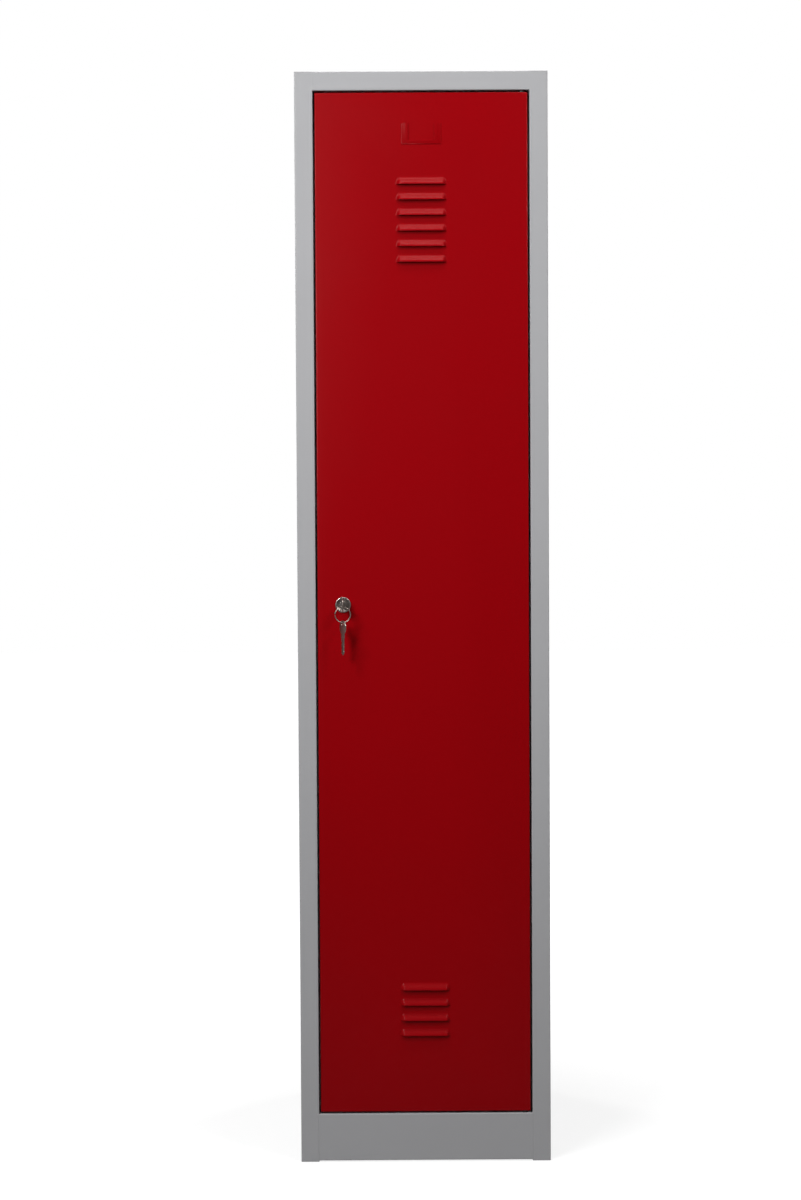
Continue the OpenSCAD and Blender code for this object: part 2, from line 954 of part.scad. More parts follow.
// Thin plates in the plug, each with a window that the key's blade passes through
module lock_wafers() {
    window_w = key_t + 2 * keyway_gap;
    window_h = blade_w + 2 * keyway_gap;
    color("gold")
        at_lock()
            for (i = [0:wafer_count - 1])
                translate([0, 0, wafer_z(i)])
                    difference() {
                        translate([-wafer_w / 2, -wafer_h / 2, 0])
                            cube([wafer_w, wafer_h, wafer_t]);
                        translate([-window_w / 2, -window_h / 2, -overlap])
                            cube([window_w, window_h, wafer_t + 2 * overlap]);
                    }
}

// The cam hangs down when the lock is open and turns behind the stop
module lock_cam() {
    color(zinc)
        at_lock()
            translate([0, 0, cam_front - lock_front])
                difference() {
                    union() {
                        cylinder(h = cam_t, d = cam_w);
                        translate([-cam_w / 2 + 1, 0, 0])
                            cube([cam_w - 2, cam_reach, cam_t]);
                    }
                    translate([0, 0, -overlap])
                        square_bar(tang_w + 2 * tang_gap, cam_t + 2 * overlap);
                }
}

module cam_screw() {
    color(zinc)
        at_lock()
            translate([0, 0, cam_back - lock_front]) {
                difference() {
                    cylinder(h = screw_head_t, d = screw_head_d);
                    for (a = [0, 90])
                        rotate([0, 0, a])
                            translate([-3, -0.5, screw_head_t - 1])
                                cube([6, 1, 2]);
                }
                translate([0, 0, -screw_into])
                    cylinder(h = screw_into, d = screw_d);
            }
}

// Key drawn flat: x = 0 is its shoulder, the blade goes to +x and the bow to -x
module key_outline() {
    bow_r = bow_d / 2;
    difference() {
        union() {
            translate([-overlap, -blade_w / 2])
                square([blade_l - 2 + overlap, blade_w]);
            translate([blade_l - 4, 0])
                intersection() {
                    circle(d = blade_w, $fn = 4);
                    translate([0, -blade_w / 2])
                        square([blade_w, blade_w]);
                }
            translate([-bow_l + bow_r, 0])
                circle(r = bow_r);
            translate([-bow_l + bow_r, -bow_neck_w / 2])
                square([bow_l - bow_r, bow_neck_w]);
        }
        translate([-bow_l + key_hole_edge, 0])
            circle(d = key_hole_d);
        for (i = [0:len(blade_cuts) - 1])
            translate([blade_cuts[i], (i % 2 == 0 ? 1 : -1) * blade_w / 2])
                circle(r = blade_cut_d, $fn = 4);
    }
}

module key_solid() {
    color(metal)
        linear_extrude(key_t, center = true)
            key_outline();
}

module door_key() {
    translate([lock_x, lock_front - key_stand, lock_z])
        rotate([90, 0, 90])
            key_solid();
}

// Wire bent to a ring, whose butted ends face the door's free edge
module key_ring() {
    color(metal)
        translate([lock_x, key_hole_y, ring_mid_z])
            rotate([90, 0, 0])
                rotate([0, 0, 180 + ring_split / 2])
                    rotate_extrude(angle = 360 - ring_split)
                        translate([ring_r, 0])
                            circle(d = ring_wire, $fn = 24);
}

module spare_key() {
    translate([lock_x, key_hole_y, spare_hole_z])
        rotate([0, 0, spare_yaw])
            rotate([0, 90, 0])
                translate([bow_l - key_hole_edge, 0, 0])
                    key_solid();
}

left_side_panel();
right_side_panel();
back_panel();
top_panel();
plinth_panel();
floor_panel();
hat_shelf();
pivot_plate_bottom();
pivot_plate_top();
pivot_pin_bottom();
pivot_pin_top();
door_buffers();
coat_rail();
rail_bracket_left();
rail_bracket_right();
rail_rivets();
rail_end_caps();
coat_hook_left();
coat_hook_middle();
coat_hook_right();
door_panel();
door_stiffener();
card_holder();
pivot_bush_bottom();
pivot_bush_top();
lock_housing();
lock_nut();
lock_plug();
lock_wafers();
lock_cam();
cam_screw();
door_key();
key_ring();
spare_key();
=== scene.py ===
# Clothing locker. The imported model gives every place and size, and this script gives the looks.
import json
from math import cos, hypot, pi, radians, sin

import bmesh
import bpy
from mathutils import Matrix, Vector

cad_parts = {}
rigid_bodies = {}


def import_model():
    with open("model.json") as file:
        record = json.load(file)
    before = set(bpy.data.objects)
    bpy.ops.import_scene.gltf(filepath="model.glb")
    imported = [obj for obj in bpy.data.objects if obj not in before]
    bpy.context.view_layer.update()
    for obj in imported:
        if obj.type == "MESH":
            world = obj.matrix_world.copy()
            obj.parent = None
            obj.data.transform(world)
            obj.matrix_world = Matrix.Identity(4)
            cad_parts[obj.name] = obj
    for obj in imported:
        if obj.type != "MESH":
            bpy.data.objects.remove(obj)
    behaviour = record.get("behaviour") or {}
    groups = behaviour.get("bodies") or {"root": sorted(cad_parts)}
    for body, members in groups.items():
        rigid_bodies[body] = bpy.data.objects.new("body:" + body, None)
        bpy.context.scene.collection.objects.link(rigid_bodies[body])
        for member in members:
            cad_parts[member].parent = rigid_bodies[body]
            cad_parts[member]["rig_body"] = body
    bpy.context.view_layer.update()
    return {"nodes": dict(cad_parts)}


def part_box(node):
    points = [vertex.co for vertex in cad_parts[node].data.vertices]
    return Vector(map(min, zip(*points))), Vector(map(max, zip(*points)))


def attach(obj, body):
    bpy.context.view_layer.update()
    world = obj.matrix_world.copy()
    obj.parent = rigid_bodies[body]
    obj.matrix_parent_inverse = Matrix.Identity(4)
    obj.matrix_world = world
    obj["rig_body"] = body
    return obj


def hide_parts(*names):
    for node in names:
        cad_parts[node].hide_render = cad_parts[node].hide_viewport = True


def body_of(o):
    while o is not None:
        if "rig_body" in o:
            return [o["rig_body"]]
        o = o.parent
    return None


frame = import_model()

nodes = frame["nodes"]


# Carcass panels
# Sides, back, top, plinth, floor and hat shelf are folded from 0.8 mm steel sheet and spot-welded
# together. They share a light grey powder coat, sprayed on dry and baked.
def linear(code):
    """Turns an sRGB hex code into linear red, green, blue and alpha."""
    channels = [int(code[i:i + 2], 16) / 255 for i in (1, 3, 5)]
    return [c / 12.92 if c <= 0.04045 else ((c + 0.055) / 1.055) ** 2.4 for c in channels] + [1.0]


def add_node(tree, kind, inputs=None, **settings):
    """Adds a node, sets its properties, and fills or links its inputs by name or number."""
    node = tree.nodes.new(kind)
    for name, value in settings.items():
        setattr(node, name, value)
    for key, value in (inputs or {}).items():
        if isinstance(value, bpy.types.NodeSocket):
            tree.links.new(value, node.inputs[key])
        else:
            node.inputs[key].default_value = value
    return node


def start_material(name):
    """Makes an empty node material and returns it with its tree and its object coordinates."""
    material = bpy.data.materials.new(name)
    material.use_nodes = True
    tree = material.node_tree
    tree.nodes.clear()
    return material, tree, add_node(tree, "ShaderNodeTexCoord").outputs["Object"]


def finish_material(tree, inputs):
    """Ends a material with its surface shader."""
    shader = add_node(tree, "ShaderNodeBsdfPrincipled", inputs)
    add_node(tree, "ShaderNodeOutputMaterial", {"Surface": shader.outputs["BSDF"]})


def powder_coat(name, code, shade, gloss):
    """Baked powder coat on sheet steel. Its film flows to a fine orange peel, which breaks up
    reflections, and the sheet under it bows by fractions of a millimetre, which bends them slowly.
    Where the film is a little thicker it is a shade darker and rougher."""
    peel_width = 0.0024
    peel_height = 0.00003
    bow_width = 0.35
    bow_height = 0.0005
    film_scale = 9.0
    smoothest, roughest = 0.26, 0.34
    material, tree, place = start_material(name)
    peel = add_node(tree, "ShaderNodeTexNoise", {
        "Vector": place, "Scale": 1 / peel_width, "Detail": 1.0})
    bow = add_node(tree, "ShaderNodeTexNoise", {
        "Vector": place, "Scale": 1 / bow_width, "Detail": 0.0})
    film = add_node(tree, "ShaderNodeTexNoise", {
        "Vector": place, "Scale": film_scale, "Detail": 4.0})
    bowed = add_node(tree, "ShaderNodeBump", {"Height": bow.outputs[0], "Distance": bow_height})
    peeled = add_node(tree, "ShaderNodeBump", {
        "Height": peel.outputs[0], "Distance": peel_height, "Normal": bowed.outputs[0]})
    colour = add_node(tree, "ShaderNodeMix", {
        0: film.outputs[0], 6: linear(code), 7: linear(shade)}, data_type="RGBA")
    rough = add_node(tree, "ShaderNodeMapRange", {
        "Value": film.outputs[0], "To Min": smoothest, "To Max": roughest})
    finish_material(tree, {
        "Base Color": colour.outputs[2], "Roughness": rough.outputs[0], "IOR": 1.5,
        "Specular IOR Level": gloss, "Normal": peeled.outputs[0]})
    return material


def coat(material, *names):
    """Gives CAD nodes a finish of their own."""
    for name in names:
        for slot in nodes[name].material_slots:
            slot.material = material


grey_coat = powder_coat("light_grey_powder_coat", "#A2A2A4", "#9D9D9F", gloss=0.25)
coat(grey_coat, "left_side_panel", "right_side_panel", "back_panel", "top_panel", "plinth_panel",
     "floor_panel", "hat_shelf")


# Spot welds
# The folded flanges are joined by rows of resistance spot welds. Each leaves a shallow round
# dent with a low rim, which the powder coat covers.
sheet = 0.0008
weld_rim = 0.0026
weld_rise = 0.00003
weld_foot = 0.0003
weld_step = 0.09
shelf_welds = 5
first_shelf_weld_y = -0.18
shelf_hem_middle = 0.009
back_welds = 18
first_back_weld_z = 0.13
back_flange_middle = 0.007
# Points nearer to each other than this are one point.
same_point = 1e-6


def set_input(modifier, name, value):
    """Sets an input of a Geometry Nodes modifier through its socket's identifier."""
    for item in modifier.node_group.interface.items_tree:
        if item.item_type == "SOCKET" and item.in_out == "INPUT" and item.name == name:
            modifier[item.identifier] = value


def row_tree():
    """Geometry Nodes tree that repeats its own mesh along a straight row."""
    tree = bpy.data.node_groups.new("pieces_in_a_row", "GeometryNodeTree")
    sockets = tree.interface
    sockets.new_socket("Geometry", in_out="INPUT", socket_type="NodeSocketGeometry")
    for name, kind in (("Count", "NodeSocketInt"), ("Start", "NodeSocketVector"),
                       ("Step", "NodeSocketVector"), ("Finish", "NodeSocketMaterial")):
        sockets.new_socket(name, in_out="INPUT", socket_type=kind)
    sockets.new_socket("Geometry", in_out="OUTPUT", socket_type="NodeSocketGeometry")
    given = add_node(tree, "NodeGroupInput").outputs
    line = add_node(tree, "GeometryNodeMeshLine", {
        "Count": given["Count"], "Start Location": given["Start"], "Offset": given["Step"]})
    copies = add_node(tree, "GeometryNodeInstanceOnPoints", {
        "Points": line.outputs["Mesh"], "Instance": given["Geometry"]})
    real = add_node(tree, "GeometryNodeRealizeInstances", {"Geometry": copies.outputs["Instances"]})
    dressed = add_node(tree, "GeometryNodeSetMaterial", {
        "Geometry": real.outputs["Geometry"], "Material": given["Finish"]})
    add_node(tree, "NodeGroupOutput", {"Geometry": dressed.outputs["Geometry"]})
    return tree


pieces_in_a_row = row_tree()


def as_mesh(name, bm):
    """Turns a bmesh into a mesh."""
    mesh = bpy.data.meshes.new(name)
    bm.to_mesh(mesh)
    bm.free()
    return mesh


def as_object(name, mesh):
    """Puts a mesh or a bmesh in the scene as an object at the origin."""
    if isinstance(mesh, bmesh.types.BMesh):
        mesh = as_mesh(name, mesh)
    piece = bpy.data.objects.new(name, mesh)
    bpy.context.scene.collection.objects.link(piece)
    return piece


def settle(piece):
    """Turns a piece and its modifiers into one plain mesh."""
    bpy.context.view_layer.update()
    shaped = piece.evaluated_get(bpy.context.evaluated_depsgraph_get())
    mesh = bpy.data.meshes.new_from_object(shaped)
    piece.modifiers.clear()
    piece.data = mesh
    return piece


def in_a_row(name, mesh, count, start, step, finish):
    """Repeats a mesh along a row with the tree above."""
    piece = as_object(name, mesh)
    modifier = piece.modifiers.new("row", "NODES")
    modifier.node_group = pieces_in_a_row
    set_input(modifier, "Count", count)
    set_input(modifier, "Start", start)
    set_input(modifier, "Step", step)
    set_input(modifier, "Finish", finish)
    return settle(piece)


def smooth(piece, angle=35):
    """Shades a piece smooth, with edges sharper than the angle kept crisp."""
    mesh = piece.data
    mesh.polygons.foreach_set("use_smooth", [True] * len(mesh.polygons))
    mesh.set_sharp_from_angle(angle=radians(angle))
    return piece


def turned(profile, segments, place=Matrix.Identity(4)):
    """Bmesh of a profile of radius and height, turned about its axis."""
    bm = bmesh.new()
    angles = [2 * pi * k / segments for k in range(segments)]
    rings = []
    for radius, height in profile:
        if radius < same_point:
            rings.append([bm.verts.new((0, 0, height))])
        else:
            rings.append([bm.verts.new((radius * cos(a), radius * sin(a), height)) for a in angles])
    for low, high in zip(rings, rings[1:]):
        for k in range(segments):
            corners = [low[k % len(low)], low[(k + 1) % len(low)],
                       high[(k + 1) % len(high)], high[k % len(high)]]
            face = list(dict.fromkeys(corners))
            if len(face) > 2:
                bm.faces.new(face)
    bm.transform(place)
    return bm


def weld_mesh(normal):
    """One weld mark, with its dent facing along normal and its foot sunk in the sheet."""
    dent = [(0, 0.2 * weld_rise), (0.6 * weld_rim, 0.3 * weld_rise), (0.8 * weld_rim, weld_rise)]
    foot = [(weld_rim, 0), (weld_rim, -weld_foot), (0, -weld_foot)]
    facing = Vector((0, 0, 1)).rotation_difference(normal).to_matrix().to_4x4()
    bm = turned(dent + foot, segments=12, place=facing)
    bmesh.ops.recalc_face_normals(bm, faces=bm.faces)
    return as_mesh("weld", bm)


def join(name, pieces):
    """Joins pieces of one finish into one object."""
    bm = bmesh.new()
    for piece in pieces:
        bm.from_mesh(piece.data)
    finish = [material for material in pieces[0].data.materials if material][0]
    for face in bm.faces:
        face.material_index = 0
    for piece in pieces:
        bpy.data.objects.remove(piece)
    joined = as_object(name, bm)
    joined.data.materials.append(finish)
    return joined


shelf_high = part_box("hat_shelf")[1]
back_low, back_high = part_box("back_panel")
weld_rows = []
for side in (-1, 1):
    on_shelf = (side * (shelf_high.x - sheet), first_shelf_weld_y, shelf_high.z - shelf_hem_middle)
    weld_rows.append(in_a_row("weld_row", weld_mesh(Vector((-side, 0, 0))), shelf_welds, on_shelf,
                              (0, weld_step, 0), grey_coat))
    on_back = (side * (back_high.x - back_flange_middle), back_low.y, first_back_weld_z)
    weld_rows.append(in_a_row("weld_row", weld_mesh(Vector((0, -1, 0))), back_welds, on_back,
                              (0, 0, weld_step), grey_coat))
welds = smooth(join("carcass_welds", weld_rows))
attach(welds, "carcass")


# Corner seams
# The head rail and the plinth butt against the stiles, and their seams are welded and dressed
# almost flush. Only a faint line is left after coating, a little deeper at the plinth.
seam_half = 0.0011
seam_depth = 0.0014
seam_round = 0.0001
seam_inset = 0.001
plinth_seam_sunk = 0.00035
head_seam_sunk = 0.00008
side_low, side_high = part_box("right_side_panel")
plinth_low, plinth_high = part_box("plinth_panel")
plinth_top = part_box("floor_panel")[1].z
head_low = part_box("pivot_plate_top")[0].z
front_y = side_low.y
stile_x = plinth_high.x
seams = bmesh.new()
for x in (-stile_x, stile_x):
    for low, high, sunk in ((plinth_low.z + seam_inset, plinth_top - seam_inset, plinth_seam_sunk),
                            (head_low, side_high.z - seam_inset, head_seam_sunk)):
        lines = [[seams.verts.new((x + dx, front_y + sunk + dy, z)) for dx, dy in (
            (-seam_half, seam_round), (0, 0), (seam_half, seam_round), (0, seam_depth))]
            for z in (low, high)]
        for k in range(4):
            seams.faces.new((lines[0][k - 1], lines[0][k], lines[1][k], lines[1][k - 1]))
        for line in lines:
            seams.faces.new(line)
bmesh.ops.recalc_face_normals(seams, faces=seams.faces)
corner_seams = as_object("corner_seams", seams)
corner_seams.data.materials.append(grey_coat)
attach(corner_seams, "carcass")


# Pivots
# The door turns on two riveted steel pins that pass through stiffening plates inside the frame.
# Plates and pins are zinc plated, which leaves a cool, slightly clouded shine.
def plated(name, code, shade, roughness, cloud_width):
    """Plated or bare metal with fine scratches, clouded a little where the bath acted unevenly."""
    scratch_width = 0.0004
    scratch_depth = 0.000004
    clean, cloudy = 0.8, 1.25
    material, tree, place = start_material(name)
    cloud = add_node(tree, "ShaderNodeTexNoise", {
        "Vector": place, "Scale": 1 / cloud_width, "Detail": 3.0})
    scratch = add_node(tree, "ShaderNodeTexNoise", {
        "Vector": place, "Scale": 1 / scratch_width, "Detail": 1.0})
    colour = add_node(tree, "ShaderNodeMix", {
        0: cloud.outputs[0], 6: linear(code), 7: linear(shade)}, data_type="RGBA")
    rough = add_node(tree, "ShaderNodeMapRange", {
        "Value": cloud.outputs[0], "To Min": roughness * clean, "To Max": roughness * cloudy})
    bump = add_node(tree, "ShaderNodeBump", {
        "Height": scratch.outputs[0], "Distance": scratch_depth})
    finish_material(tree, {"Base Color": colour.outputs[2], "Metallic": 1.0,
                           "Roughness": rough.outputs[0], "Normal": bump.outputs[0]})
    return material


def flat_faces(piece):
    """Keeps flat faces flat in the shading beside their broken edges."""
    modifier = piece.modifiers.new("face_normals", "WEIGHTED_NORMAL")
    modifier.keep_sharp = True
    return settle(piece)


def finished(node, edge, material):
    """Makes a copy of a CAD node with its sharp edges broken, which then stands for the node."""
    bm = bmesh.new()
    bm.from_mesh(nodes[node].data)
    bmesh.ops.remove_doubles(bm, verts=bm.verts, dist=same_point)
    bmesh.ops.dissolve_limit(bm, angle_limit=radians(1), verts=bm.verts, edges=bm.edges)
    sharp = [e for e in bm.edges if e.is_manifold and e.calc_face_angle() > radians(35)]
    bmesh.ops.bevel(bm, geom=sharp, offset=edge, segments=2, profile=0.5, affect="EDGES",
                    clamp_overlap=True)
    piece = as_object(node + "_finished", bm)
    piece.data.materials.append(material)
    flat_faces(smooth(piece, 60))
    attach(piece, body_of(nodes[node])[0])
    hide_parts(node)


zinc = plated("zinc_plated_steel", "#C3C6C9", "#AEB2B6", roughness=0.34, cloud_width=0.02)
for node in ("pivot_plate_bottom", "pivot_plate_top", "pivot_pin_bottom", "pivot_pin_top"):
    finished(node, 0.0002, zinc)


# Hat shelf brackets and rivets
# Two stamped angle brackets hang from the shelf on four solid rivets and carry the coat rail.
# They are zinc plated like the pivots.
for node in ("rail_bracket_left", "rail_bracket_right", "rail_rivets"):
    finished(node, 0.00025, zinc)


# Coat rail
# A chromed steel tube lies in the brackets, closed by pressed-in caps of black polypropylene.
# Bright chrome mirrors the inside of the locker, and the moulded caps are finely matt.
chrome = plated("bright_chrome_on_steel", "#D8D9DC", "#CFD0D4", roughness=0.09, cloud_width=0.05)


def moulded(name, code, roughness, grain):
    """Plastic or rubber with the fine grain of its mould."""
    grain_depth = 0.04 * grain
    polish = 0.06
    material, tree, place = start_material(name)
    mould = add_node(tree, "ShaderNodeTexNoise", {
        "Vector": place, "Scale": 1 / grain, "Detail": 2.0})
    bump = add_node(tree, "ShaderNodeBump", {"Height": mould.outputs[0], "Distance": grain_depth})
    rough = add_node(tree, "ShaderNodeMapRange", {
        "Value": mould.outputs[0], "To Min": roughness - polish, "To Max": roughness + polish})
    finish_material(tree, {"Base Color": linear(code), "Roughness": rough.outputs[0],
                           "IOR": 1.49, "Normal": bump.outputs[0]})
    return material


black_cap = moulded("moulded_black_polypropylene", "#1B1B1C", roughness=0.5, grain=0.0005)
finished("coat_rail", 0.0002, chrome)
finished("rail_end_caps", 0.0003, black_cap)


# Coat hooks
# Three hooks of 4 mm chromed wire loop over the rail and slide along it.
# Each is bent from one length and ends in a pressed ball.
hook_wire = 0.002
hook_ball = 0.003
hook_sweep = radians(220)


def even(start, end, count):
    """Evenly spaced values from start to end, with count steps between them."""
    return [start + (end - start) * k / count for k in range(count + 1)]


def tube(path, radius, sides=14):
    """Bmesh of a round wire along a path of points, closed at both ends."""
    bm = bmesh.new()
    angles = [2 * pi * k / sides for k in range(sides)]
    rings = []
    side = None
    for i, point in enumerate(path):
        ahead = (path[min(i + 1, len(path) - 1)] - path[max(i - 1, 0)]).normalized()
        if side is None:
            side = ahead.orthogonal().normalized()
        side = (side - ahead * side.dot(ahead)).normalized()
        other = ahead.cross(side)
        rings.append([bm.verts.new(point + radius * (cos(a) * side + sin(a) * other))
                      for a in angles])
    for low, high in zip(rings, rings[1:]):
        for k in range(sides):
            bm.faces.new((low[k], low[(k + 1) % sides], high[(k + 1) % sides], high[k]))
    bm.faces.new(list(reversed(rings[0])))
    bm.faces.new(rings[-1])
    return bm


for place in ("left", "middle", "right"):
    node = "coat_hook_" + place
    low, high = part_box(node)
    x = (low.x + high.x) / 2
    reach = -low.y - hook_wire
    rail_z = high.z - reach - hook_wire
    bend_z = low.z + reach + hook_wire
    path = [Vector((x, -reach * cos(a), rail_z + reach * sin(a))) for a in even(hook_sweep, 0, 40)]
    path += [Vector((x, -reach, z)) for z in even(rail_z, bend_z, 8)[1:-1]]
    path += [Vector((x, -reach * cos(a), bend_z - reach * sin(a))) for a in even(0, pi, 32)]
    wire = tube(path, hook_wire)
    bmesh.ops.create_uvsphere(wire, u_segments=20, v_segments=12, radius=hook_ball,
                              matrix=Matrix.Translation(path[-1]))
    hook = smooth(as_object(node + "_wire", wire))
    hook.data.materials.append(chrome)
    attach(hook, "hook_" + place)
    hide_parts(node)


# Door buffers
# Three black rubber plugs snap into the stop on the lock side, so that the door closes softly.
# Moulded rubber is matt and very dark.
rubber = moulded("moulded_black_rubber", "#151515", roughness=0.72, grain=0.0004)
finished("door_buffers", 0.0003, rubber)


# Door
# One 1 mm sheet is pierced, its louvres are pressed out through a shear cut, and its four edges
# are folded back twice. It has the same powder coat as the frame, in deep red.
door_sheet = 0.001
door_bend = 0.002
door_return = 0.012
louvre_half = 0.042
louvre_end = 0.0075
louvre_out = 0.006
louvre_low = -0.0065
louvre_high = 0.0065
louvre_pitch = 0.0254
top_louvres = 6
bottom_louvres = 4
top_louvre_drop = 0.143
bottom_louvre_rise = 0.134
patch_half = 0.046
patch_low = -0.009
patch_high = 0.009
lock_hole_r = 0.00905
lock_hole_sides = 32
door_low, door_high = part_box("door_panel")
face_y = door_low.y + louvre_out
# The red's specular level is low, because its gloss shows only as a faint haze beside its colour.
red_coat = powder_coat("deep_red_powder_coat", "#8A0007", "#860006", gloss=0.08)


def louvre_patch():
    """Piece of door face with one pressed louvre, open along its lower edge. The hood rises in one
    soft S-curve from the flat sheet, and a shorter one closes its ends."""
    end = louvre_half - louvre_end
    steps = 14
    columns = [0, end / 3, end * 2 / 3] + even(end, louvre_half, steps) + [patch_half]
    columns = sorted({round(v, 7) for c in columns for v in (c, -c)})
    rows = even(louvre_low, louvre_high, steps) + [patch_high]

    def height(x, z):
        across = max(0, abs(x) - end) / louvre_end
        up = (z - louvre_low) / (louvre_high - louvre_low)
        return louvre_out * (0.5 + 0.5 * cos(pi * min(1, hypot(across, up))))

    bm = bmesh.new()
    lines = [[bm.verts.new((x, 0, z)) for x in columns] for z in (patch_low, louvre_low)]
    lines += [[bm.verts.new((x, -height(x, z), z)) for x in columns] for z in rows]
    for low, high in [lines[:2]] + list(zip(lines[2:], lines[3:])):
        for i in range(len(columns) - 1):
            bm.faces.new((low[i], low[i + 1], high[i + 1], high[i]))
    bmesh.ops.remove_doubles(bm, verts=bm.verts, dist=same_point)
    return as_mesh("louvre_patch", bm)


def rim_ring(bm, inset, y):
    """Four corners of the door's outline, moved in by inset, at depth y."""
    return [bm.verts.new((x, y, z)) for x, z in (
        (door_low.x + inset, door_low.z + inset), (door_high.x - inset, door_low.z + inset),
        (door_high.x - inset, door_high.z - inset), (door_low.x + inset, door_high.z - inset))]


top_z = door_high.z - top_louvre_drop
bottom_z = door_low.z + bottom_louvre_rise
skin = bmesh.new()
for name, count, first, pitch in (("top_louvres", top_louvres, top_z, -louvre_pitch),
                                  ("bottom_louvres", bottom_louvres, bottom_z, louvre_pitch)):
    group = in_a_row(name, louvre_patch(), count, (0, face_y, first), (0, 0, pitch), red_coat)
    skin.from_mesh(group.data)
    bpy.data.objects.remove(group)

# The flat of the face fills what the louvres' patches, the lock's hole and the folded rim leave.
louvre_zs = [top_z - k * louvre_pitch for k in range(top_louvres)]
louvre_zs += [bottom_z + k * louvre_pitch for k in range(bottom_louvres)]
patch_ends = [z + end for z in louvre_zs for end in (patch_low, patch_high)]
borders = []
for e in skin.edges:
    a, b = (v.co for v in e.verts)
    flat = e.is_boundary and all(abs(v.y - face_y) < same_point for v in (a, b))
    upright = all(abs(abs(v.x) - patch_half) < same_point for v in (a, b))
    level = all(min(abs(v.z - z) for z in patch_ends) < same_point for v in (a, b))
    if flat and (upright or level):
        borders.append(e)
bend = even(0, pi / 2, 6)
profile = [(door_return, door_high.y)]
profile += [(door_bend * (1 - sin(a)), door_high.y - door_bend * (1 - cos(a))) for a in bend]
profile += [(door_bend * (1 - cos(a)), face_y + door_bend * (1 - sin(a))) for a in bend]
rings = [rim_ring(skin, inset, y) for inset, y in profile]
for outer, inner in zip(rings, rings[1:]):
    for k in range(4):
        skin.faces.new((outer[k], outer[(k + 1) % 4], inner[(k + 1) % 4], inner[k]))
lock_low, lock_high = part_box("lock_housing")
lock_x = (lock_low.x + lock_high.x) / 2
lock_z = (lock_low.z + lock_high.z) / 2
hole = [skin.verts.new((lock_x + lock_hole_r * cos(a), face_y, lock_z + lock_hole_r * sin(a)))
        for a in even(0, 2 * pi, lock_hole_sides)[:-1]]
for loop in (hole, rings[-1]):
    for here, there in zip(loop, loop[1:] + loop[:1]):
        borders.append(skin.edges.get((here, there)) or skin.edges.new((here, there)))
bmesh.ops.triangle_fill(skin, edges=borders, use_beauty=True, normal=(0, -1, 0))
bmesh.ops.remove_doubles(skin, verts=skin.verts, dist=same_point)
bmesh.ops.recalc_face_normals(skin, faces=skin.faces)
front = [f for f in skin.faces if abs(f.calc_center_median().y - face_y) < same_point]
if sum(f.calc_area() * f.normal.y for f in front) > 0:
    bmesh.ops.reverse_faces(skin, faces=skin.faces)
door = as_object("door_sheet", skin)
door.data.materials.append(red_coat)
thickness = door.modifiers.new("sheet", "SOLIDIFY")
thickness.thickness = door_sheet
thickness.offset = -1
thickness.use_even_offset = True
smooth(settle(door), 38)
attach(door, "door")
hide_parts("door_panel")


# Door stiffener
# A folded channel is spot-welded behind the door between the louvre groups and keeps the sheet
# from drumming. It is coated together with the door.
foot_middle = 0.008
weld_margin = 0.03
coat(red_coat, "door_stiffener")
stiff_low, stiff_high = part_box("door_stiffener")
foot_x = stiff_high.x - foot_middle
foot_y = face_y + door_sheet + sheet
foot_welds = int((stiff_high.z - stiff_low.z - 2 * weld_margin) / weld_step) + 1
stiffener_welds = smooth(join("stiffener_welds", [
    in_a_row("weld_row", weld_mesh(Vector((0, 1, 0))), foot_welds,
             (side * foot_x, foot_y, stiff_low.z + weld_margin), (0, 0, weld_step), red_coat)
    for side in (-1, 1)]))
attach(stiffener_welds, "door")


# Card holder
# A thin frame is pressed so that its side lips and foot rise off the door, and a name card slides
# in from above. It is welded on before the door is coated.
card_side = 0.0115
card_foot = 0.0065
card_sheet = 0.0008
card_edge = 0.0002
edge_share = 0.05
rise_share = 0.8
card_low, card_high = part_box("card_holder")
card_rise = card_high.y - card_low.y - card_sheet
lip = [(share, card_rise * (0.5 - 0.5 * cos(pi * min(1, share / rise_share))))
       for share in even(0, 1, 8)]
section = [(0, card_edge), (edge_share, card_sheet)]
section += [(share, height + card_sheet) for share, height in lip[1:]] + lip[::-1]
holder = bmesh.new()
stations = []
for share, height in section:
    y = card_high.y - height
    left, right = card_low.x + share * card_side, card_high.x - share * card_side
    foot = card_low.z + share * card_foot
    stations.append([holder.verts.new(p) for p in (
        (left, y, card_high.z), (left, y, foot), (right, y, foot), (right, y, card_high.z))])
for i, here in enumerate(stations):
    there = stations[(i + 1) % len(stations)]
    for k in range(3):
        holder.faces.new((here[k], here[k + 1], there[k + 1], there[k]))
for k in (0, 3):
    holder.faces.new([line[k] for line in stations])
bmesh.ops.recalc_face_normals(holder, faces=holder.faces)
card_holder = smooth(as_object("card_holder_pressing", holder), 50)
card_holder.data.materials.append(red_coat)
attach(card_holder, "door")
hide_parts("card_holder")


# Pivot bushes
# Turned nylon bushes snap into the door's top and bottom edges and run on the pins.
# Black nylon is satin from its tool, and stays dark in the gap round the door.
nylon = moulded("turned_black_nylon", "#161616", roughness=0.4, grain=0.0008)
for node in ("pivot_bush_bottom", "pivot_bush_top"):
    finished(node, 0.0002, nylon)


